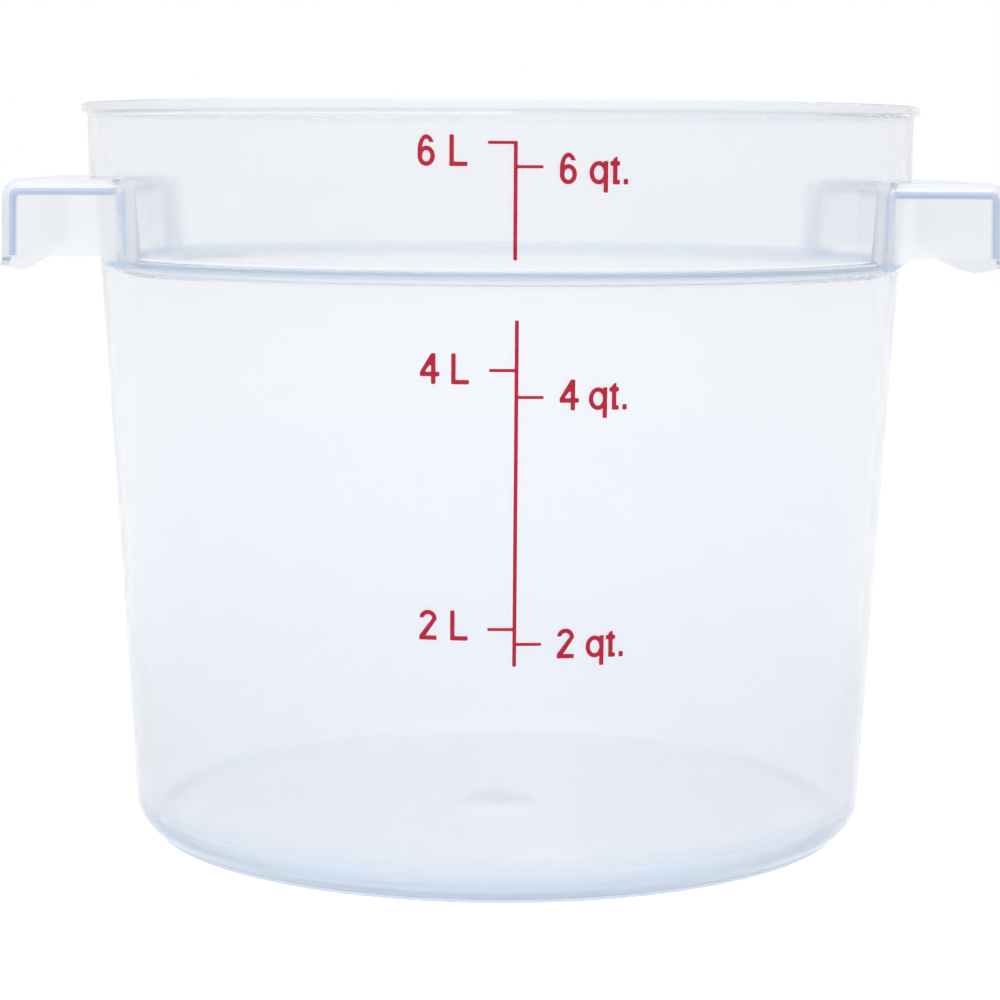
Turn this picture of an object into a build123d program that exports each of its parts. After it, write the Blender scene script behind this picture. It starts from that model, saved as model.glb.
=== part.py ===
"""Round tub for proofing dough: one moulding with two box handles, and a printed volume scale.

Millimetres. +Z is up from the surface the tub stands on, X runs through the two handles,
and the printed scale is on the -Y side. The origin is the middle of the foot.
"""
from build123d import *
import math
import os

# The tub as a whole
TUB_HEIGHT = 195.0  # foot to rim
COLLAR_DIAMETER = 220.6  # outside of the upper band, just above the ledge
COLLAR_HEIGHT = 43.4  # ledge underside to rim
COLLAR_DRAFT_DEG = 0.35
LEDGE_STEP = 2.85  # how far the ledge stands out from the lower wall
BODY_DRAFT_DEG = 3.2
WALL = 2.2
FLOOR = 2.4

# Rim
FLANGE_REACH = 1.65
FLANGE_THICKNESS = 2.6
RIM_EDGE = 0.7
FLANGE_ROOT = 1.0

# Foot and floor
CORNER_RADIUS = 8.3  # outside, where the wall turns under
INNER_CORNER_RADIUS = 6.1
FOOT_INSET = 4.4  # foot's outside, in from the wall's line at the ground
FOOT_WIDTH = 3.4
FOOT_RECESS = 0.8  # underside of the floor above the ground
GATE_MARK_DIAMETER = 23.0
GATE_WELL_DEPTH = 1.0  # under the floor
GATE_RISE = 0.5  # on the floor
GATE_STUB_RADIUS = 1.3
GATE_STUB_LENGTH = 0.6

# Ledge corners
LEDGE_OUTER_EDGE = 0.9
LEDGE_ROOT = 0.7
LEDGE_INNER_ROOT = 2.0
LEDGE_INNER_EDGE = 0.6

# Handles
HANDLE_WIDTH = 105.4  # front skirt to rear skirt
HANDLE_REACH = 17.5  # end wall's outside at the skirts' lower edges, out from the collar
HANDLE_DRAFT_DEG = 1.0
HANDLE_RISE = 23.8  # top of the handle above the ledge underside
SKIRT_LIFT = 4.6  # skirts' lower edges above the ledge underside
GUSSET_REACH = 6.0  # how far the skirt slopes down to the ledge at its root
END_CORNER_RADIUS = 4.6  # end wall to top, seen from the front
SIDE_EDGE_RADIUS = 4.4  # top to skirts, and end wall to skirts
LIP_DROP = 0.9  # lip's lowest edge below the ledge underside
LIP_FLARE = 2.3  # how far the lip leans out below the end wall
LIP_FLAT = 18.0  # width of the lip's straight lower edge
LIP_WIDTH = 95.0
LIP_END_DROP = 2.7  # lip's ends below the skirts
LIP_END_RADIUS = 2.5
LIP_BEND = 6.0
LIP_BEND_DROP = 1.2  # corner of the bend below the skirts
LIP_EDGE = 0.7
LIP_SWEEP = 90.0  # rounding of the lip's lower edge on its way to the ends

# Printed scale
INK = 0.15
PRINT_ARC_DEG = 60.0  # part of the wall that takes print
CAP_HEIGHT = 7.3
STROKE = 1.05
FIGURE_WIDTHS = {"6": 4.0, "4": 4.6, "2": 4.1}
LETTER_L_WIDTH = 4.2
LETTER_Q_WIDTH = 4.4
LETTER_T_WIDTH = 2.3
LOWER_CASE_HEIGHT = 5.4
DESCENDER = 1.9
STOP_WIDTH = 1.05
STOP_HEIGHT = 1.3
PRINT_ROUNDING = 0.25
LINE_WIDTH = 0.9
TICK_THICKNESS = 0.72
TICK_LENGTH = 6.45
UPPER_LINE_SHIFT = -0.35
LOWER_LINE_SHIFT = 0.3

# Places along a label, out from the middle of the scale line
LITRE_FIGURE_LEFT = -22.7
LITRE_L_LEFT = -15.35
QUART_FIGURE_LEFT = 10.25
QUART_Q_LEFT = 17.2
QUART_T_LEFT = 22.1
QUART_STOP_LEFT = 25.3

# Label baselines, below the tick that they belong to
LITRE_DROPS = {"6": 5.5, "4": 3.35, "2": 2.8}
QUART_DROPS = {"6": 4.0, "4": 3.1, "2": 3.55}

# Tick heights, as shares of the band they are printed on
UPPER_LITRE_SHARES = {"6": 0.816}
UPPER_QUART_SHARES = {"6": 0.680}
LOWER_LITRE_SHARES = {"4": 0.869, "2": 0.458}
LOWER_QUART_SHARES = {"4": 0.827, "2": 0.434}
UPPER_LINE_FOOT_SHARE = 0.150
LOWER_LINE_FOOT_SHARE = 0.398
LOWER_LINE_TOP_SHARE = 0.947

# Forms of the figures, as shares of their height or width
SIX_BOWL_SHARE = 0.64
SIX_TIP_SHARE = 0.755
TWO_HEAD_SHARE = 0.56
TWO_TIP_SHARE = 0.74
FOUR_STEM_SHARE = 0.57
FOUR_BAR_SHARE = 0.25
T_STEM_SHARE = 0.28
T_TOP_SHARE = 0.92
T_NOTCH_SHARE = 0.80

OVERRUN = 5.0  # how far a cutting body runs past what it cuts

# Worked out from the sizes above
ledge_z = TUB_HEIGHT - COLLAR_HEIGHT
ledge_top_z = ledge_z + WALL
flange_z = TUB_HEIGHT - FLANGE_THICKNESS
handle_top_z = ledge_z + HANDLE_RISE
skirt_z = ledge_z + SKIRT_LIFT
lip_z = ledge_z - LIP_DROP
floor_z = FOOT_RECESS + FLOOR
collar_radius = COLLAR_DIAMETER / 2
ledge_radius = collar_radius - LEDGE_STEP
body_slope = math.tan(math.radians(BODY_DRAFT_DEG))
collar_slope = math.tan(math.radians(COLLAR_DRAFT_DEG))
foot_radius = ledge_radius - ledge_z * body_slope - FOOT_INSET
handle_half = HANDLE_WIDTH / 2
handle_slope = math.tan(math.radians(HANDLE_DRAFT_DEG))
handle_root = math.sqrt(collar_radius**2 - handle_half**2)


def body_radius(z):
    """Outside radius of the lower wall at a height."""
    return ledge_radius + (z - ledge_z) * body_slope


def collar_outside(z):
    """Outside radius of the collar at a height."""
    return collar_radius + (z - ledge_z) * collar_slope


def handle_end(z):
    """How far out the outside of a handle's end wall is at a height."""
    return collar_radius + HANDLE_REACH - (z - skirt_z) * handle_slope


def turned(corners):
    """A solid of revolution about Z from (radius, height, corner rounding) points."""
    points = [(r, 0, z) for r, z, _ in corners]
    outline = FilletPolyline(*points, radius=[c for _, _, c in corners], close=True)
    return revolve(Face(Wire(outline.edges())), Axis.Z)


def seen_from_front(corners):
    """A flat face in the XZ plane from (x, z, corner rounding) points."""
    points = [(x, 0, z) for x, z, _ in corners]
    outline = FilletPolyline(*points, radius=[c for _, _, c in corners], close=True)
    return Face(Wire(outline.edges()))


def across_y(face, half_width):
    """Extrude a face of the XZ plane to both sides of it."""
    return extrude(face, amount=half_width, dir=(0, 1, 0), both=True)


def outer_form():
    """The tub's outside, filled: corner under the wall, ledge, collar and flange."""
    flange_radius = collar_outside(flange_z) + FLANGE_REACH
    return turned([
        (0, 0, 0),
        (body_radius(0), 0, CORNER_RADIUS),
        (body_radius(ledge_z), ledge_z, LEDGE_ROOT),
        (collar_outside(ledge_z), ledge_z, LEDGE_OUTER_EDGE),
        (collar_outside(flange_z), flange_z, FLANGE_ROOT),
        (flange_radius, flange_z, RIM_EDGE),
        (flange_radius, TUB_HEIGHT, RIM_EDGE),
        (0, TUB_HEIGHT, 0),
    ])


def foot_ring():
    """The low ring the tub stands on, rooted in the floor."""
    root_z = FOOT_RECESS + FLOOR / 2
    return turned([
        (0, 0, 0),
        (foot_radius, 0, 0),
        (foot_radius, root_z, 0),
        (0, root_z, 0),
    ])


def floor_recess():
    """The shallow hollow inside the foot ring."""
    inside = foot_radius - FOOT_WIDTH
    return turned([
        (0, -OVERRUN, 0),
        (inside, -OVERRUN, 0),
        (inside, FOOT_RECESS, 0),
        (0, FOOT_RECESS, 0),
    ])


def gate_mark(base_z, rise):
    """A shallow cone over the gate, flat on top to the stub's width."""
    return turned([
        (0, base_z, 0),
        (GATE_MARK_DIAMETER / 2, base_z, 0),
        (GATE_STUB_RADIUS, base_z + rise, 0),
        (0, base_z + rise, 0),
    ])


def shelf_void(shelf_z, edge, root):
    """The space above a ledge: from the lower wall's inside out to the collar, up past the rim."""
    start_z = shelf_z - WALL
    inside = collar_outside(shelf_z) - WALL
    inside_top = collar_outside(TUB_HEIGHT) - WALL
    return turned([
        (0, start_z, 0),
        (body_radius(start_z) - WALL, start_z, 0),
        (body_radius(shelf_z) - WALL, shelf_z, edge),
        (inside, shelf_z, root),
        (inside_top, TUB_HEIGHT, RIM_EDGE),
        (inside_top + RIM_EDGE, TUB_HEIGHT, 0),
        (inside_top + RIM_EDGE, TUB_HEIGHT + OVERRUN, 0),
        (0, TUB_HEIGHT + OVERRUN, 0),
    ])


def lower_void():
    """The space inside the lower wall, which runs on up behind the handles."""
    return turned([
        (0, floor_z, 0),
        (body_radius(floor_z) - WALL, floor_z, INNER_CORNER_RADIUS),
        (body_radius(handle_top_z) - WALL, handle_top_z, 0),
        (0, handle_top_z, 0),
    ])


def handle_form(inset, bottom):
    """One handle's box on +X, down to a height: inset 0 is its outside, WALL is its hollow."""
    top = handle_top_z - inset
    profile = seen_from_front([
        (0, bottom, 0),
        (handle_end(bottom) - inset, bottom, 0),
        (handle_end(top) - inset, top, END_CORNER_RADIUS - inset),
        (0, top, 0),
    ])
    box = across_y(profile, handle_half - inset)
    on_sides = [edge for side in box.faces().filter_by(Axis.Y) for edge in side.edges()]
    upper_and_end = [
        edge
        for edge in on_sides
        if edge.center().Z > bottom + SIDE_EDGE_RADIUS and edge.center().X > WALL
    ]
    return fillet(upper_and_end, SIDE_EDGE_RADIUS - inset)


def handle_trim():
    """What is kept of a handle's box: down to the skirts' lower edges, and to the ledge at its root."""
    top = handle_top_z + OVERRUN
    outer = handle_end(skirt_z) + OVERRUN
    return across_y(
        seen_from_front([
            (0, ledge_z, 0),
            (handle_root, ledge_z, 0),
            (handle_root + GUSSET_REACH, skirt_z, 0),
            (outer, skirt_z, 0),
            (outer, top, 0),
            (0, top, 0),
        ]),
        handle_half + OVERRUN,
    )


def handle_lip():
    """The flared lip under one handle's end wall, with its lower edge bowed down."""
    start_z = skirt_z + WALL
    bend_z = skirt_z - LIP_BEND_DROP
    low_end = handle_end(skirt_z) + LIP_FLARE
    half = LIP_WIDTH / 2
    panel = across_y(
        seen_from_front([
            (handle_end(start_z) - WALL, start_z, 0),
            (handle_end(start_z), start_z, 0),
            (handle_end(bend_z), bend_z, LIP_BEND),
            (low_end, lip_z, LIP_EDGE),
            (low_end - WALL, lip_z, LIP_EDGE),
            (handle_end(bend_z) - WALL, bend_z, LIP_BEND),
        ]),
        half,
    )
    flat = LIP_FLAT / 2
    end_z = skirt_z - LIP_END_DROP
    corners = [
        (-half, start_z, 0),
        (-half, end_z, LIP_END_RADIUS),
        (-flat, lip_z, LIP_SWEEP),
        (flat, lip_z, LIP_SWEEP),
        (half, end_z, LIP_END_RADIUS),
        (half, start_z, 0),
    ]
    inside = handle_end(skirt_z) - SIDE_EDGE_RADIUS
    outline = FilletPolyline(
        *[(inside, y, z) for y, z, _ in corners], radius=[c for _, _, c in corners], close=True
    )
    window = extrude(
        Face(Wire(outline.edges())), amount=SIDE_EDGE_RADIUS + LIP_FLARE + OVERRUN, dir=(1, 0, 0)
    )
    return panel & window


def on_both_sides(solid):
    """A handle's solid and its twin on -X."""
    return solid + solid.rotate(Axis.Z, 180)


def make_tub():
    """The moulding: one wall from the floor to the rim, folded out into a ledge and two handles."""
    handle_box = handle_form(0, lip_z)
    handle_boxes = on_both_sides(handle_box)
    handles = on_both_sides(handle_box & handle_trim())
    lips = on_both_sides(handle_lip())
    body_core = turned([
        (0, 0, 0),
        (body_radius(0), 0, 0),
        (body_radius(handle_top_z), handle_top_z, 0),
        (0, handle_top_z, 0),
    ])
    finger_space = on_both_sides(handle_form(WALL, lip_z - OVERRUN)) - body_core
    shelf = shelf_void(ledge_top_z, LEDGE_INNER_EDGE, LEDGE_INNER_ROOT) - handle_boxes
    raised_shelf = shelf_void(handle_top_z, LEDGE_INNER_EDGE, LEDGE_INNER_EDGE)
    tub = outer_form() + foot_ring() + handles
    tub = tub - lower_void() - raised_shelf - shelf - finger_space - floor_recess()
    tub = tub + lips
    tub = tub + gate_mark(floor_z, GATE_RISE)
    tub = tub - gate_mark(FOOT_RECESS, GATE_WELL_DEPTH)
    stub = Pos(0, 0, FOOT_RECESS + GATE_WELL_DEPTH - GATE_STUB_LENGTH) * Cylinder(
        GATE_STUB_RADIUS, GATE_STUB_LENGTH + FLOOR / 2, align=(Align.CENTER, Align.CENTER, Align.MIN)
    )
    return tub + stub


def ink_skin(radius_at, low_z, high_z):
    """A thin skin of ink round the front of the wall between two heights."""
    outline = Polyline(
        (radius_at(low_z), 0, low_z),
        (radius_at(low_z) + INK, 0, low_z),
        (radius_at(high_z) + INK, 0, high_z),
        (radius_at(high_z), 0, high_z),
        close=True,
    )
    section = make_face(outline).face().rotate(Axis.Z, -90 - PRINT_ARC_DEG / 2)
    return revolve(section, Axis.Z, revolution_arc=PRINT_ARC_DEG)


def bar(left, low, right, high):
    """A flat rectangle of print between two corners."""
    return Pos((left + right) / 2, (low + high) / 2) * Rectangle(right - left, high - low)


def oval(left, low, right, high):
    """A flat oval of print that fills a rectangle."""
    return Pos((left + right) / 2, (low + high) / 2) * Ellipse((right - left) / 2, (high - low) / 2)


def oval_ring(left, low, right, high):
    """An oval stroke that fills a rectangle."""
    return oval(left, low, right, high) - oval(
        left + STROKE, low + STROKE, right - STROKE, high - STROKE
    )


def patch(*points):
    """A flat patch of print with straight sides."""
    return Sketch() + make_face(Polyline(*points, close=True))


def softened(shape):
    """Round a straight-sided figure's corners, as ink does."""
    return fillet(shape.vertices(), PRINT_ROUNDING)


def figure_six():
    """6: a closed bowl, and a hook from its left side over to the right."""
    width = FIGURE_WIDTHS["6"]
    middle = width / 2
    bowl = oval_ring(0, 0, width, SIX_BOWL_SHARE * CAP_HEIGHT)
    hook = oval_ring(0, 0, width, CAP_HEIGHT)
    left_half = bar(0, SIX_BOWL_SHARE * CAP_HEIGHT / 2, middle, CAP_HEIGHT)
    tip = bar(middle, SIX_TIP_SHARE * CAP_HEIGHT, width, CAP_HEIGHT)
    return bowl + (hook & (left_half + tip))


def figure_four():
    """4: a stem, a bar and a slope from the stem's top to the bar's end."""
    width = FIGURE_WIDTHS["4"]
    stem_left = FOUR_STEM_SHARE * width
    bar_low = FOUR_BAR_SHARE * CAP_HEIGHT
    stem = bar(stem_left, 0, stem_left + STROKE, CAP_HEIGHT)
    crossbar = bar(0, bar_low, width, bar_low + STROKE)
    slope = patch(
        (0, bar_low + STROKE),
        (stem_left, CAP_HEIGHT),
        (stem_left + STROKE, CAP_HEIGHT),
        (stem_left + STROKE, CAP_HEIGHT - STROKE),
        (STROKE, bar_low + STROKE),
        (STROKE, bar_low),
        (0, bar_low),
    )
    return softened(stem + crossbar + slope)


def figure_two():
    """2: a round head, a slope down to the left and a flat foot."""
    width = FIGURE_WIDTHS["2"]
    head_low = CAP_HEIGHT * (1 - TWO_HEAD_SHARE)
    middle_z = (head_low + CAP_HEIGHT) / 2
    head = oval_ring(0, head_low, width, CAP_HEIGHT)
    over = bar(0, TWO_TIP_SHARE * CAP_HEIGHT, width, CAP_HEIGHT)
    right = bar(width / 2, middle_z - STROKE / 2, width, CAP_HEIGHT)
    slope = patch(
        (0, STROKE),
        (width - STROKE, middle_z),
        (width, middle_z),
        (width - STROKE / 2, middle_z - STROKE),
        (STROKE * math.sqrt(2), STROKE),
        (STROKE, 0),
        (0, 0),
    )
    foot = bar(0, 0, width, STROKE)
    return (head & (over + right)) + slope + foot


def letter_l():
    """L, for litres."""
    return softened(bar(0, 0, STROKE, CAP_HEIGHT) + bar(0, 0, LETTER_L_WIDTH, STROKE))


def letter_q():
    """q: an oval bowl and a stem that goes below the line."""
    bowl = oval_ring(0, 0, LETTER_Q_WIDTH, LOWER_CASE_HEIGHT)
    return bowl + bar(LETTER_Q_WIDTH - STROKE, -DESCENDER, LETTER_Q_WIDTH, LOWER_CASE_HEIGHT)


def letter_t():
    """t: a stem with a sloped top, a crossbar and a short foot to the right."""
    left = T_STEM_SHARE * LETTER_T_WIDTH
    right = left + STROKE
    stem = patch(
        (left, 0),
        (right, 0),
        (right, T_TOP_SHARE * CAP_HEIGHT),
        (left, T_NOTCH_SHARE * CAP_HEIGHT),
    )
    crossbar = bar(0, LOWER_CASE_HEIGHT - STROKE, LETTER_T_WIDTH, LOWER_CASE_HEIGHT)
    foot = bar(left, 0, LETTER_T_WIDTH, STROKE)
    return softened(stem + crossbar + foot)


def full_stop():
    """The stop after qt."""
    return softened(bar(0, 0, STOP_WIDTH, STOP_HEIGHT))


FIGURES = {"6": figure_six, "4": figure_four, "2": figure_two}


def printed(shape, x, z, skin):
    """Lay a flat shape on the front of the wall at a place, as a film of ink."""
    on_front = Plane.XZ * (Pos(x, z) * shape)
    prism = extrude(on_front, amount=COLLAR_DIAMETER)
    return prism & skin


def litre_label(figure, tick_z, line_x, skin):
    """A figure and L, to the left of the line."""
    base_z = tick_z - LITRE_DROPS[figure]
    return Compound(children=[
        printed(FIGURES[figure](), line_x + LITRE_FIGURE_LEFT, base_z, skin).solid(),
        printed(letter_l(), line_x + LITRE_L_LEFT, base_z, skin).solid(),
    ])


def quart_label(figure, tick_z, line_x, skin):
    """A figure and qt., to the right of the line."""
    base_z = tick_z - QUART_DROPS[figure]
    glyphs = [
        (FIGURES[figure](), QUART_FIGURE_LEFT),
        (letter_q(), QUART_Q_LEFT),
        (letter_t(), QUART_T_LEFT),
        (full_stop(), QUART_STOP_LEFT),
    ]
    return Compound(children=[
        printed(glyph, line_x + left, base_z, skin).solid() for glyph, left in glyphs
    ])


def scale_line(low_z, high_z, left_ticks, right_ticks, line_x, skin):
    """The upright line with its litre ticks to the left and quart ticks to the right."""
    half = LINE_WIDTH / 2
    drawing = bar(-half, low_z, half, high_z)
    for z in left_ticks:
        drawing += bar(-TICK_LENGTH, z - TICK_THICKNESS / 2, 0, z + TICK_THICKNESS / 2)
    for z in right_ticks:
        drawing += bar(0, z - TICK_THICKNESS / 2, TICK_LENGTH, z + TICK_THICKNESS / 2)
    return printed(softened(drawing), line_x, 0, skin)


def upper_z(share):
    """A height on the collar, from the ledge's underside to the flange."""
    return ledge_z + share * (flange_z - ledge_z)


def lower_z(share):
    """A height on the lower wall, from the ground to the ledge's underside."""
    return share * ledge_z


def make_scale():
    """Every piece of print, by its node's name."""
    upper_skin = ink_skin(collar_outside, ledge_z + LEDGE_OUTER_EDGE, flange_z - FLANGE_ROOT)
    lower_skin = ink_skin(body_radius, CORNER_RADIUS, ledge_z - LEDGE_ROOT)
    bands = {
        "upper": (upper_z, upper_skin, UPPER_LINE_SHIFT, UPPER_LITRE_SHARES, UPPER_QUART_SHARES),
        "lower": (lower_z, lower_skin, LOWER_LINE_SHIFT, LOWER_LITRE_SHARES, LOWER_QUART_SHARES),
    }
    pieces = {}
    ends = {
        "upper": (
            upper_z(UPPER_LINE_FOOT_SHARE),
            upper_z(UPPER_LITRE_SHARES["6"]) + TICK_THICKNESS / 2,
        ),
        "lower": (lower_z(LOWER_LINE_FOOT_SHARE), lower_z(LOWER_LINE_TOP_SHARE)),
    }
    for name, (height, skin, line_x, litre_shares, quart_shares) in bands.items():
        litre_ticks = {figure: height(share) for figure, share in litre_shares.items()}
        quart_ticks = {figure: height(share) for figure, share in quart_shares.items()}
        low_z, high_z = ends[name]
        pieces[f"scale_line_{name}"] = scale_line(
            low_z, high_z, litre_ticks.values(), quart_ticks.values(), line_x, skin
        )
        for figure, tick_z in litre_ticks.items():
            pieces[f"litre_label_{figure}"] = litre_label(figure, tick_z, line_x, skin)
        for figure, tick_z in quart_ticks.items():
            pieces[f"quart_label_{figure}"] = quart_label(figure, tick_z, line_x, skin)
    return pieces


def main():
    """Build every piece and write one STEP file for each node."""
    os.makedirs("parts", exist_ok=True)
    nodes = {"tub": make_tub()}
    nodes.update(make_scale())
    for name, shape in nodes.items():
        export_step(shape, f"parts/{name}.step")
        print(name, round(shape.volume, 1))


main()
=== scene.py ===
"""Looks of a round proofing tub: clear polypropylene, a printed volume scale, white floor, soft light."""
import logging
import math
from dataclasses import dataclass, field
from enum import Enum

import bpy
from mathutils import Euler, Matrix, Vector

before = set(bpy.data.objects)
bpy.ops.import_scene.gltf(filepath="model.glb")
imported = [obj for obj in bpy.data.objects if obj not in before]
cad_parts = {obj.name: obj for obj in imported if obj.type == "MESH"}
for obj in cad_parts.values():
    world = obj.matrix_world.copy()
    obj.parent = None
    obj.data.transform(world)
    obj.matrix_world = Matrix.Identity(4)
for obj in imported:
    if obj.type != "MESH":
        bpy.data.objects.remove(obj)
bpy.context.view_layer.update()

log = logging.getLogger("proofing_tub")

Colour = tuple[float, float, float]
Place = tuple[float, float, float]
Range = tuple[float, float]
Socket = bpy.types.NodeSocket

WHITE: Colour = (1.0, 1.0, 1.0)


class Ray(Enum):
    """The kinds of ray that a Light Path node tells apart."""

    CAMERA = "Is Camera Ray"
    SHADOW = "Is Shadow Ray"
    DIFFUSE = "Is Diffuse Ray"
    GLOSSY = "Is Glossy Ray"
    THROUGH = "Is Transmission Ray"


class Graph:
    """A material's or world's node tree, with short ways to add and join nodes."""

    def __init__(self, owner: bpy.types.ID) -> None:
        """Start an empty node tree.

        Args:
            owner: The material or world that the nodes belong to.
        """
        owner.use_nodes = True
        self.tree = owner.node_tree
        self.tree.nodes.clear()

    def node(self, kind: str, **settings: object) -> bpy.types.Node:
        """Add a node.

        Args:
            kind: Its type's name, without ShaderNode in front.
            **settings: Properties to set on it.

        Returns:
            The new node.
        """
        made = self.tree.nodes.new("ShaderNode" + kind)
        for name, value in settings.items():
            setattr(made, name, value)
        return made

    def join(self, source: Socket, target: Socket) -> None:
        """Join an output to an input."""
        self.tree.links.new(source, target)

    def math(self, operation: str, *inputs: Socket | float) -> Socket:
        """Add a Math node.

        Args:
            operation: What it does, such as MULTIPLY.
            *inputs: A socket to join, or a number to set, for each of its inputs.

        Returns:
            Its output.
        """
        made = self.node("Math", operation=operation)
        for socket, value in zip(made.inputs, inputs):
            if isinstance(value, Socket):
                self.join(value, socket)
            else:
                socket.default_value = value
        return made.outputs[0]

    def blend(self, share: Socket, first: Socket | Colour, second: Socket | Colour) -> Socket:
        """Blend two colours.

        Args:
            share: How much of the second colour there is, from 0 to 1.
            first: A socket to join, or a colour to set.
            second: The same for the second colour.

        Returns:
            The blended colour.
        """
        made = self.node("Mix", data_type="RGBA")
        self.join(share, made.inputs["Factor"])
        for name, colour in (("A", first), ("B", second)):
            if isinstance(colour, Socket):
                self.join(colour, made.inputs[name])
            else:
                made.inputs[name].default_value = (*colour, 1.0)
        return made.outputs["Result"]

    def noise(self, where: Socket, scale: float, detail: float) -> Socket:
        """Add a noise texture.

        Args:
            where: The coordinates it is read at.
            scale: Features per metre.
            detail: Number of finer layers.

        Returns:
            Its value, from 0 to 1.
        """
        made = self.node("TexNoise")
        made.inputs["Scale"].default_value = scale
        made.inputs["Detail"].default_value = detail
        self.join(where, made.inputs["Vector"])
        return made.outputs[0]

    def spread(
        self, value: Socket, low: float, high: float, start: float = 0.0, end: float = 1.0
    ) -> Socket:
        """Turn a value from one range into another.

        Args:
            value: The value.
            low: Result at the range's start.
            high: Result at the range's end.
            start: Start of the range that the value comes in.
            end: End of that range.

        Returns:
            The result.
        """
        made = self.node("MapRange")
        self.join(value, made.inputs["Value"])
        for name, number in zip(("From Min", "From Max", "To Min", "To Max"), (start, end, low, high)):
            made.inputs[name].default_value = number
        return made.outputs[0]

    def rise(self, value: Socket, start: float, end: float) -> Socket:
        """Rise smoothly from 0 to 1.

        Args:
            value: The value that the rise follows.
            start: Where it starts.
            end: Where it ends, above or below the start.

        Returns:
            0 up to the start, and 1 past the end.
        """
        made = self.spread(value, 0.0, 1.0, start, end)
        made.node.interpolation_type = "SMOOTHSTEP"
        return made

    def band(self, value: Socket, inner: Range, fade: float) -> Socket:
        """Mark the values in a range, with soft ends.

        Args:
            value: The value.
            inner: The range that is marked in full.
            fade: How far outside it the mark reaches.

        Returns:
            1 in the range, and 0 away from it.
        """
        low, high = inner
        return self.math("MULTIPLY", self.rise(value, low - fade, low), self.rise(value, high + fade, high))

    def all_of(self, first: Socket, *others: Socket) -> Socket:
        """Keep what every one of the masks marks.

        Args:
            first: A mask.
            *others: The other masks.

        Returns:
            All of them, multiplied.
        """
        for other in others:
            first = self.math("MULTIPLY", first, other)
        return first

    def reach(self, one: Socket, other: Socket) -> Socket:
        """Work out the length of the line whose two sides are given."""
        squares = self.math("ADD", self.math("MULTIPLY", one, one), self.math("MULTIPLY", other, other))
        return self.math("SQRT", squares)

    def tell(self, ray: Ray) -> Socket:
        """Give 1 for one kind of ray and 0 for the rest."""
        return self.node("LightPath").outputs[ray.value]


class Spot:
    """Where a point of the moulding is, in metres, and which way it faces, in the tub's own frame."""

    def __init__(self, graph: Graph) -> None:
        """Measure the place and the direction.

        Args:
            graph: The material's nodes.
        """
        where = graph.node("TexCoord").outputs
        place, facing = graph.node("SeparateXYZ"), graph.node("SeparateXYZ")
        graph.join(where["Object"], place.inputs[0])
        graph.join(where["Normal"], facing.inputs[0])
        self.graph = graph
        self.across, self.along, self.up = (graph.math("ABSOLUTE", axis) for axis in place.outputs)
        self.from_axis = graph.reach(self.across, self.along)
        self.front = graph.math("ABSOLUTE", facing.outputs[1])
        self.level = graph.math("ABSOLUTE", facing.outputs[2])
        outward = graph.math("MULTIPLY", facing.outputs[0], place.outputs[0])
        self.outward = graph.math("MULTIPLY_ADD", facing.outputs[1], place.outputs[1], outward)


@dataclass(frozen=True)
class Shade:
    """How the plastic looks in one place: its colour, and how clear it is rather than milky."""

    colour: Colour
    clearness: float


@dataclass(frozen=True)
class HandlePlaces:
    """The two handles: milky panels, milkier edges and lip, and a band of blue painted shade round each
    panel.
    """

    panel: Shade = Shade((0.985, 0.99, 1.0), 0.62)
    start: float = 0.1112
    top: float = 0.1790
    edge: Shade = Shade((0.955, 0.968, 0.995), 0.32)
    edge_lean: Range = (0.12, 0.74)
    edge_fade: float = 0.12
    lip: Shade = Shade((0.975, 0.985, 1.0), 0.12)
    lip_top: float = 0.1545
    # Painted shade: a dark blue band round each panel's rounded edge, where the clear handle would look
    # dark.
    painted_shade_band: Shade = Shade((0.52, 0.63, 0.80), 0.58)
    painted_shade_start: float = 0.1108
    painted_shade_foot: float = 0.1545
    painted_shade_lean: Range = (0.88, 0.988)
    painted_shade_fade: float = 0.011
    side_fade: float = 0.0008
    height_fade: float = 0.0010

    def masks(self, spot: Spot) -> list[tuple[Shade, Socket]]:
        """Mark each of these places.

        Args:
            spot: The point and its direction.

        Returns:
            Each place's look and its mask, the panels first.
        """
        graph = spot.graph
        full_top = self.top - self.height_fade
        panel = graph.all_of(
            graph.rise(spot.from_axis, self.start, self.start + self.side_fade),
            graph.rise(spot.up, self.top, full_top),
        )
        edge = graph.all_of(panel, graph.band(spot.front, self.edge_lean, self.edge_fade))
        lip = graph.all_of(panel, graph.rise(spot.up, self.lip_top + self.height_fade, self.lip_top))
        # The band of blue painted shade round each panel.
        painted_shade_band = graph.all_of(
            graph.rise(spot.from_axis, self.painted_shade_start, self.painted_shade_start + self.side_fade),
            graph.band(spot.up, (self.painted_shade_foot, full_top), self.height_fade),
            graph.band(spot.front, self.painted_shade_lean, self.painted_shade_fade),
        )
        return [(self.panel, panel), (self.edge, edge), (self.lip, lip), (self.painted_shade_band, painted_shade_band)]


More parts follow.
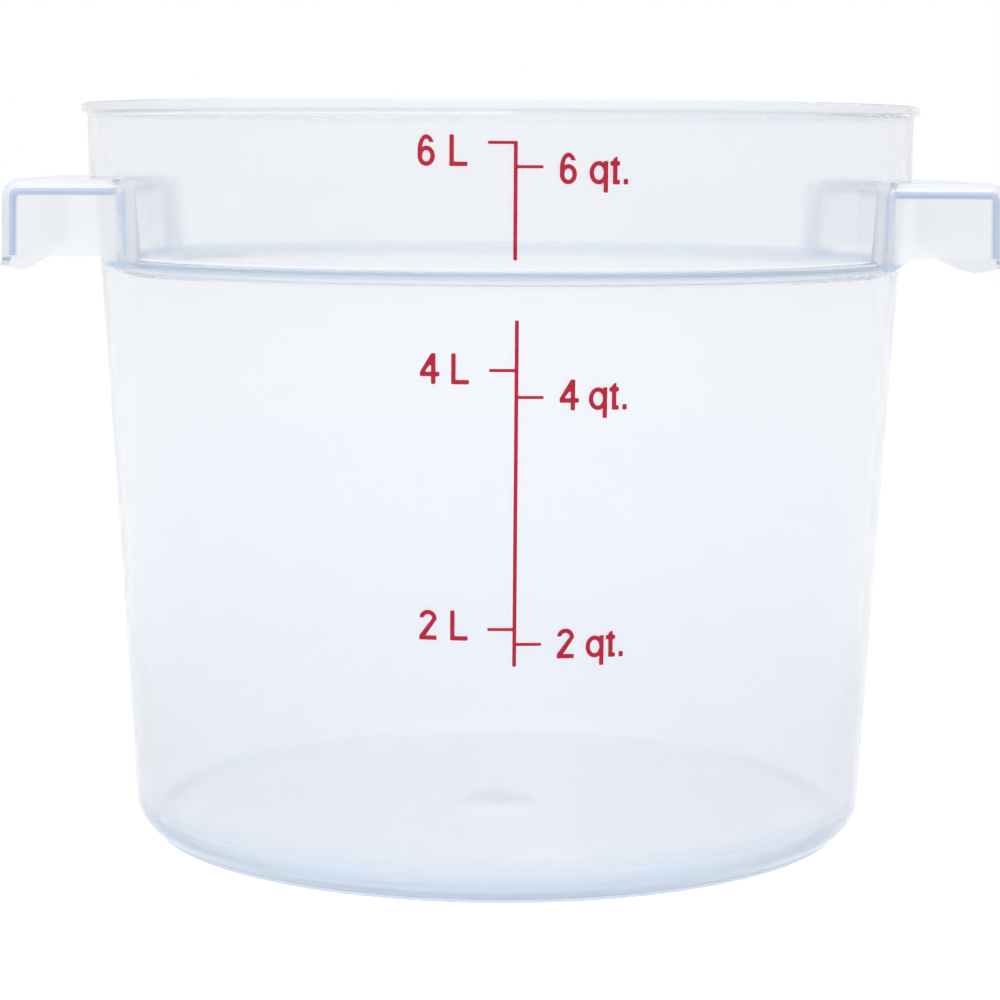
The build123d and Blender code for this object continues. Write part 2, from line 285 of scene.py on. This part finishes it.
@dataclass(frozen=True)
class RootPlaces:
    """The four upright lines of blue painted shade where the handles meet the collar, and the milky collar
    wall beside them.
    """

    wall: Shade = Shade((0.975, 0.985, 1.0), 0.62)
    wall_rise: Range = (0.1520, 0.1745)
    wall_width: Range = (0.0935, 0.0960)
    wall_fade: float = 0.0020
    wall_side: Range = (0.0480, 0.0500)
    # Painted shade: a thin dark blue line where each handle meets the collar.
    line: Shade = Shade((0.64, 0.745, 0.89), 0.55)
    line_rise: Range = (0.1520, 0.1718)
    line_place: Range = (0.0805, 0.0533)
    line_lean: float = 0.095
    line_reach: float = 0.0009
    line_fade: float = 0.0018
    height_fade: float = 0.0012

    def masks(self, spot: Spot) -> list[tuple[Shade, Socket]]:
        """Mark each of these places.

        Args:
            spot: The point and its direction.

        Returns:
            Each place's look and its mask.
        """
        graph = spot.graph
        wall = graph.all_of(
            graph.band(spot.across, self.wall_width, self.wall_fade),
            graph.rise(spot.along, *self.wall_side),
            graph.band(spot.up, self.wall_rise, self.height_fade),
        )
        # The line of painted shade, leaning a little as it rises.
        foot_x, line_y = self.line_place
        line_x = graph.math("MULTIPLY_ADD", spot.up, self.line_lean, foot_x)
        off_x = graph.math("SUBTRACT", spot.across, line_x)
        off = graph.reach(off_x, graph.math("SUBTRACT", spot.along, line_y))
        line = graph.all_of(
            graph.rise(off, self.line_reach + self.line_fade, self.line_reach),
            graph.band(spot.up, self.line_rise, self.height_fade),
        )
        return [(self.wall, wall), (self.line, line)]


@dataclass(frozen=True)
class WallPlaces:
    """The ledge with its band of blue painted shade and its milky lower edge, the floor, the rounded base
    with its blue painted shade, and the rim.
    """

    ledge_foot: Shade = Shade((0.955, 0.965, 0.99), 0.45)
    ledge_foot_rise: Range = (0.1517, 0.1535)
    ledge_foot_fade: float = 0.0003
    # Painted shade: a dark blue band along the ledge.
    ledge: Shade = Shade((0.70, 0.79, 0.91), 0.58)
    ledge_rise: Range = (0.1532, 0.1544)
    ledge_fade: float = 0.0010
    ledge_lean: Range = (0.95, 0.75)
    ledge_end: Range = (0.1142, 0.1132)
    ground: Shade = Shade((1.0, 1.0, 1.0), 0.99)
    ground_rise: Range = (0.0070, 0.0060)
    ground_lean: Range = (0.80, 0.95)
    # Painted shade: a blue band round the outside of the rounded base.
    base: Shade = Shade((0.79, 0.88, 1.0), 0.46)
    base_rise: Range = (0.0140, 0.0040)
    base_start: Range = (0.0880, 0.0920)
    base_facing: Range = (-0.0040, 0.0100)
    rim: Shade = Shade((0.955, 0.965, 0.985), 0.62)
    rim_rise: Range = (0.1917, 0.1922)

    def masks(self, spot: Spot) -> list[tuple[Shade, Socket]]:
        """Mark each of these places.

        Args:
            spot: The point and its direction.

        Returns:
            Each place's look and its mask.
        """
        graph = spot.graph
        on_collar = graph.rise(spot.from_axis, *self.ledge_end)
        foot = graph.all_of(graph.band(spot.up, self.ledge_foot_rise, self.ledge_foot_fade), on_collar)
        upright = graph.rise(spot.level, *self.ledge_lean)
        # The ledge's band of painted shade.
        ledge = graph.all_of(graph.band(spot.up, self.ledge_rise, self.ledge_fade), upright, on_collar)
        lying = graph.rise(spot.level, *self.ground_lean)
        ground = graph.all_of(graph.rise(spot.up, *self.ground_rise), lying)
        # The base's band of painted shade, on the outer face only.
        base = graph.all_of(
            graph.rise(spot.up, *self.base_rise),
            graph.rise(spot.from_axis, *self.base_start),
            graph.rise(spot.outward, *self.base_facing),
        )
        rim = graph.rise(spot.up, *self.rim_rise)
        return [
            (self.ledge_foot, foot),
            (self.ledge, ledge),
            (self.ground, ground),
            (self.base, base),
            (self.rim, rim),
        ]


@dataclass(frozen=True)
class ClearPolypropylene:
    """Clear moulded polypropylene: glossy, hazy and milky in places, with painted shade: darker and bluer
    towards the bottom, and blue bands at the handle edges, the handle roots, the ledge and the base.
    """

    name: str = "clear_polypropylene"
    # The lower colour is painted shade: the wall darker and bluer towards the bottom, as if less light
    # reached it.
    upper: Shade = Shade((0.95, 0.958, 0.975), 0.91)
    lower: Shade = Shade((0.897, 0.914, 0.945), 0.905)
    lower_rise: Range = (0.140, 0.020)
    handles: HandlePlaces = field(default_factory=HandlePlaces)
    roots: RootPlaces = field(default_factory=RootPlaces)
    walls: WallPlaces = field(default_factory=WallPlaces)
    passed_light: Colour = (0.98, 0.985, 0.995)
    ior: float = 1.49
    haze: float = 0.055
    haze_spread: float = 0.02
    handle_haze: float = 0.07
    foot_haze: float = 0.065
    foot_haze_rise: Range = (0.070, 0.030)
    tint: Colour = (0.30, 0.51, 0.74)
    tint_density: float = 4.0
    flow_scale: float = 60.0
    flow_detail: float = 3.0
    flow_stretch: float = 0.12
    ripple_scale: float = 90.0
    ripple_detail: float = 1.0
    ripple_height: float = 0.00002

    def material(self) -> bpy.types.Material:
        """Build the material.

        Returns:
            The new material.
        """
        made = bpy.data.materials.new(self.name)
        graph = Graph(made)
        shader = graph.node("BsdfPrincipled")
        shader.inputs["IOR"].default_value = self.ior
        where = graph.node("TexCoord").outputs["Object"]
        spot = Spot(graph)
        handle = self.shade(spot, shader)
        graph.join(self.cloudiness(spot, where, handle), shader.inputs["Roughness"])
        bump = graph.node("Bump")
        bump.inputs["Distance"].default_value = self.ripple_height
        graph.join(graph.noise(where, self.ripple_scale, self.ripple_detail), bump.inputs["Height"])
        graph.join(bump.outputs[0], shader.inputs["Normal"])
        absorb = graph.node("VolumeAbsorption")
        absorb.inputs["Color"].default_value = (*self.tint, 1.0)
        absorb.inputs["Density"].default_value = self.tint_density
        out = graph.node("OutputMaterial")
        graph.join(self.lets_light_by(graph, shader.outputs[0]), out.inputs["Surface"])
        graph.join(absorb.outputs[0], out.inputs["Volume"])
        return made

    def shade(self, spot: Spot, shader: bpy.types.Node) -> Socket:
        """Give the plastic its colour and clearness: by height, with painted shade darker towards the
        bottom, and then in each marked place, as a milky veil or as blue painted shade.

        Args:
            spot: The point and its direction.
            shader: The plastic's shader.

        Returns:
            The handles' mask.
        """
        graph = spot.graph
        # Painted shade: darker and bluer towards the bottom.
        low = graph.rise(spot.up, *self.lower_rise)
        colour = graph.blend(low, self.upper.colour, self.lower.colour)
        clearness = graph.spread(low, self.upper.clearness, self.lower.clearness)
        handles = self.handles.masks(spot)
        for look, mask in (*handles, *self.roots.masks(spot), *self.walls.masks(spot)):
            colour = graph.blend(mask, colour, look.colour)
            gap = graph.math("SUBTRACT", look.clearness, clearness)
            clearness = graph.math("MULTIPLY_ADD", gap, mask, clearness)
        graph.join(colour, shader.inputs["Base Color"])
        graph.join(clearness, shader.inputs["Transmission Weight"])
        return handles[0][1]

    def cloudiness(self, spot: Spot, where: Socket, handle: Socket) -> Socket:
        """Make the haze: streaked along the plastic's flow, and stronger in the handles and the foot.

        Args:
            spot: The point and its direction.
            where: The coordinates for the streaks.
            handle: The handles' mask.

        Returns:
            The roughness.
        """
        graph = spot.graph
        flow = graph.node("Mapping")
        flow.inputs["Scale"].default_value = (1.0, 1.0, self.flow_stretch)
        graph.join(where, flow.inputs["Vector"])
        streaks = graph.noise(flow.outputs[0], self.flow_scale, self.flow_detail)
        haze = graph.spread(streaks, self.haze, self.haze + self.haze_spread)
        haze = graph.math("MULTIPLY_ADD", handle, self.handle_haze, haze)
        low = graph.rise(spot.up, *self.foot_haze_rise)
        return graph.math("MULTIPLY_ADD", low, self.foot_haze, haze)

    def lets_light_by(self, graph: Graph, surface: Socket) -> Socket:
        """Let lamp light and light from matt surfaces go straight through the wall, a little dimmed.

        Args:
            graph: The material's nodes.
            surface: The shader that the other rays see.

        Returns:
            The joined shader.
        """
        clear = graph.node("BsdfTransparent")
        clear.inputs["Color"].default_value = (*self.passed_light, 1.0)
        for ray in (Ray.DIFFUSE, Ray.SHADOW):
            choice = graph.node("MixShader")
            graph.join(graph.tell(ray), choice.inputs[0])
            graph.join(surface, choice.inputs[1])
            graph.join(clear.outputs[0], choice.inputs[2])
            surface = choice.outputs[0]
        return surface


@dataclass(frozen=True)
class PrintingInk:
    """Crimson screen-printing ink, a little uneven in its film."""

    name: str = "printing_ink"
    full: Colour = (0.50, 0.008, 0.036)
    thin: Colour = (0.56, 0.020, 0.056)
    roughness: float = 0.45
    roughness_spread: float = 0.12
    shine: float = 0.25
    mottle_scale: float = 700.0
    mottle_detail: float = 3.0
    mottle_range: Range = (0.35, 0.75)

    def material(self) -> bpy.types.Material:
        """Build the material.

        Returns:
            The new material.
        """
        made = bpy.data.materials.new(self.name)
        graph = Graph(made)
        shader = graph.node("BsdfPrincipled")
        shader.inputs["Specular IOR Level"].default_value = self.shine
        where = graph.node("TexCoord").outputs["Object"]
        mottle = graph.noise(where, self.mottle_scale, self.mottle_detail)
        thinness = graph.spread(mottle, 0.0, 1.0, *self.mottle_range)
        graph.join(graph.blend(thinness, self.full, self.thin), shader.inputs["Base Color"])
        roughness = graph.spread(mottle, self.roughness, self.roughness + self.roughness_spread)
        graph.join(roughness, shader.inputs["Roughness"])
        out = graph.node("OutputMaterial")
        graph.join(shader.outputs[0], out.inputs["Surface"])
        return made


@dataclass(frozen=True)
class WhiteSweep:
    """Matt white floor that keeps the shadow, and is white to the camera, in gloss and through the tub."""

    name: str = "white_sweep"
    colour: Colour = (0.70, 0.70, 0.70)
    glow: float = 0.445

    def material(self) -> bpy.types.Material:
        """Build the material.

        Returns:
            The new material.
        """
        made = bpy.data.materials.new(self.name)
        graph = Graph(made)
        paint = graph.node("BsdfDiffuse")
        paint.inputs["Color"].default_value = (*self.colour, 1.0)
        glow = graph.node("Emission")
        glow.inputs["Color"].default_value = (*WHITE, 1.0)
        graph.join(graph.math("MULTIPLY", seen_white(graph), self.glow), glow.inputs["Strength"])
        both = graph.node("AddShader")
        graph.join(paint.outputs[0], both.inputs[0])
        graph.join(glow.outputs[0], both.inputs[1])
        out = graph.node("OutputMaterial")
        graph.join(both.outputs[0], out.inputs["Surface"])
        return made


def seen_white(graph: Graph) -> Socket:
    """Find the rays that see the backdrop: from the camera, in gloss and through clear plastic.

    Args:
        graph: The node tree that asks.

    Returns:
        1 for these rays and 0 for the rest.
    """
    gloss_or_through = graph.math("MAXIMUM", graph.tell(Ray.GLOSSY), graph.tell(Ray.THROUGH))
    return graph.math("MAXIMUM", graph.tell(Ray.CAMERA), gloss_or_through)


@dataclass
class Tub:
    """The moulding: floor, wall, ledge, collar, rim and two hollow handles."""

    node: str = "tub"
    finish: ClearPolypropylene = field(default_factory=ClearPolypropylene)

    def dress(self) -> list[bpy.types.Object]:
        """Give the moulding its plastic.

        Returns:
            The moulding's objects.
        """
        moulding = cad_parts[self.node]
        moulding.data.materials.clear()
        moulding.data.materials.append(self.finish.material())
        return [moulding]


@dataclass
class VolumeScale:
    """The printed lines and labels on the front of the wall."""

    prefixes: tuple[str, ...] = ("scale_line_", "litre_label_", "quart_label_")
    finish: PrintingInk = field(default_factory=PrintingInk)

    def dress(self) -> list[bpy.types.Object]:
        """Give every printed piece its ink.

        Returns:
            The printed pieces.
        """
        ink = self.finish.material()
        prints = [made for name, made in sorted(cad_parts.items()) if name.startswith(self.prefixes)]
        for piece in prints:
            piece.data.materials.clear()
            piece.data.materials.append(ink)
        return prints


@dataclass
class Lamp:
    """One soft square lamp, aimed at a point."""

    name: str
    place: Place
    size: float
    power: float
    aim: Place = (0.0, 0.0, 0.10)

    def build(self) -> bpy.types.Object:
        """Make the lamp.

        Returns:
            The new light object.
        """
        data = bpy.data.lights.new(self.name, "AREA")
        data.shape = "SQUARE"
        data.size = self.size
        data.energy = self.power
        made = bpy.data.objects.new(self.name, data)
        made.location = self.place
        towards = Vector(self.aim) - Vector(self.place)
        made.rotation_euler = towards.to_track_quat("-Z", "Y").to_euler()
        bpy.context.scene.collection.objects.link(made)
        return made


@dataclass
class Studio:
    """The floor, the white surroundings and the lamps."""

    floor_size: float = 6.0
    floor_drop: float = 0.0003
    sweep: WhiteSweep = field(default_factory=WhiteSweep)
    surround: float = 0.98
    sides: float = 0.65
    fill: Colour = (0.965, 0.98, 1.0)
    room: tuple[tuple[float, Colour], ...] = (
        (0.18, WHITE),
        (0.34, (0.80, 0.86, 0.95)),
        (0.60, (0.80, 0.86, 0.95)),
        (0.85, WHITE),
    )
    lamps: tuple[Lamp, ...] = (
        Lamp("softbox_over", (0.0, -0.6, 2.6), 2.6, 11.0),
        Lamp("softbox_front", (-0.6, -2.6, 1.4), 1.8, 12.0),
    )

    def build(self) -> None:
        """Make the floor, the world and the lamps."""
        half = self.floor_size / 2
        corners = [(-half, -half, 0.0), (half, -half, 0.0), (half, half, 0.0), (-half, half, 0.0)]
        mesh = bpy.data.meshes.new("floor")
        mesh.from_pydata(corners, [], [(0, 1, 2, 3)])
        floor = bpy.data.objects.new("floor", mesh)
        floor.location.z = -self.floor_drop
        bpy.context.scene.collection.objects.link(floor)
        floor.data.materials.append(self.sweep.material())
        self.surroundings()
        for lamp in self.lamps:
            lamp.build()

    def surroundings(self) -> None:
        """Make the world: white backdrop, a little darker above it, and a plain level of light."""
        world = bpy.data.worlds.new("white_surroundings")
        bpy.context.scene.world = world
        graph = Graph(world)
        towards = graph.node("SeparateXYZ")
        graph.join(graph.node("TexCoord").outputs["Generated"], towards.inputs[0])
        seen = seen_white(graph)
        level = graph.spread(graph.math("ABSOLUTE", towards.outputs["X"]), self.surround, self.sides)
        back = graph.node("Background")
        graph.join(graph.math("MAXIMUM", seen, level), back.inputs["Strength"])
        room = self.room_colour(graph, towards.outputs["Z"])
        graph.join(graph.blend(seen, self.fill, room), back.inputs["Color"])
        out = graph.node("OutputWorld")
        graph.join(back.outputs[0], out.inputs["Surface"])

    def room_colour(self, graph: Graph, rise: Socket) -> Socket:
        """Colour the room by how far up a ray goes.

        Args:
            graph: The world's nodes.
            rise: The upward part of the ray's direction, from -1 to 1.

        Returns:
            The colour.
        """
        ramp = graph.node("ValToRGB")
        graph.join(graph.spread(rise, 0.0, 1.0, -1.0, 1.0), ramp.inputs[0])
        stops = ramp.color_ramp.elements
        while len(stops) < len(self.room):
            stops.new(0.5)
        for stop, (height, colour) in zip(stops, self.room):
            stop.position = (height + 1) / 2
            stop.color = (*colour, 1.0)
        return ramp.outputs[0]


@dataclass
class Viewpoint:
    """The camera where the photograph was taken from, in the tub's own frame. Angles in degrees."""

    distance: float = 0.75505
    height: float = 0.18315
    turn: float = -2.012
    yaw: float = -0.027
    pitch: float = -7.210
    roll: float = 0.306
    lens: float = 99.6
    sensor: float = 36.0
    nearest: float = 0.05

    def build(self) -> bpy.types.Object:
        """Make the scene's camera.

        Returns:
            The camera.
        """
        data = bpy.data.cameras.new("camera")
        data.lens = self.lens
        data.sensor_width = self.sensor
        data.clip_start = self.nearest
        made = bpy.data.objects.new("camera", data)
        side = math.radians(self.turn)
        place = Vector((self.distance * math.sin(side), -self.distance * math.cos(side), self.height))
        look = Euler((math.radians(90 + self.pitch), 0.0, math.radians(self.turn + self.yaw)))
        tilt = Matrix.Rotation(math.radians(self.roll), 4, "Z")
        made.matrix_world = Matrix.Translation(place) @ look.to_matrix().to_4x4() @ tilt
        bpy.context.scene.collection.objects.link(made)
        bpy.context.scene.camera = made
        return made


@dataclass(frozen=True)
class LightPaths:
    """How far Cycles follows light. With few bounces, thick edges of clear plastic turn black."""

    bounces: int = 96
    see_through: int = 24

    def apply(self) -> None:
        """Set the scene's bounce limits, and turn caustics off."""
        cycles = bpy.context.scene.cycles
        cycles.max_bounces = self.bounces
        cycles.transmission_bounces = self.bounces
        cycles.glossy_bounces = self.bounces
        cycles.transparent_max_bounces = self.see_through
        cycles.caustics_refractive = False
        cycles.caustics_reflective = False


def main() -> None:
    """Dress the tub and its scale, and build the studio round them."""
    logging.basicConfig(level=logging.INFO, format="%(message)s")
    bpy.context.scene.view_settings.view_transform = "Standard"
    LightPaths().apply()
    for part in (Tub(), VolumeScale()):
        for piece in part.dress():
            log.info("%s: %s, %d faces", type(part).__name__, piece.name, len(piece.data.polygons))
    Studio().build()
    Viewpoint().build()


if __name__ == "__main__":
    main()
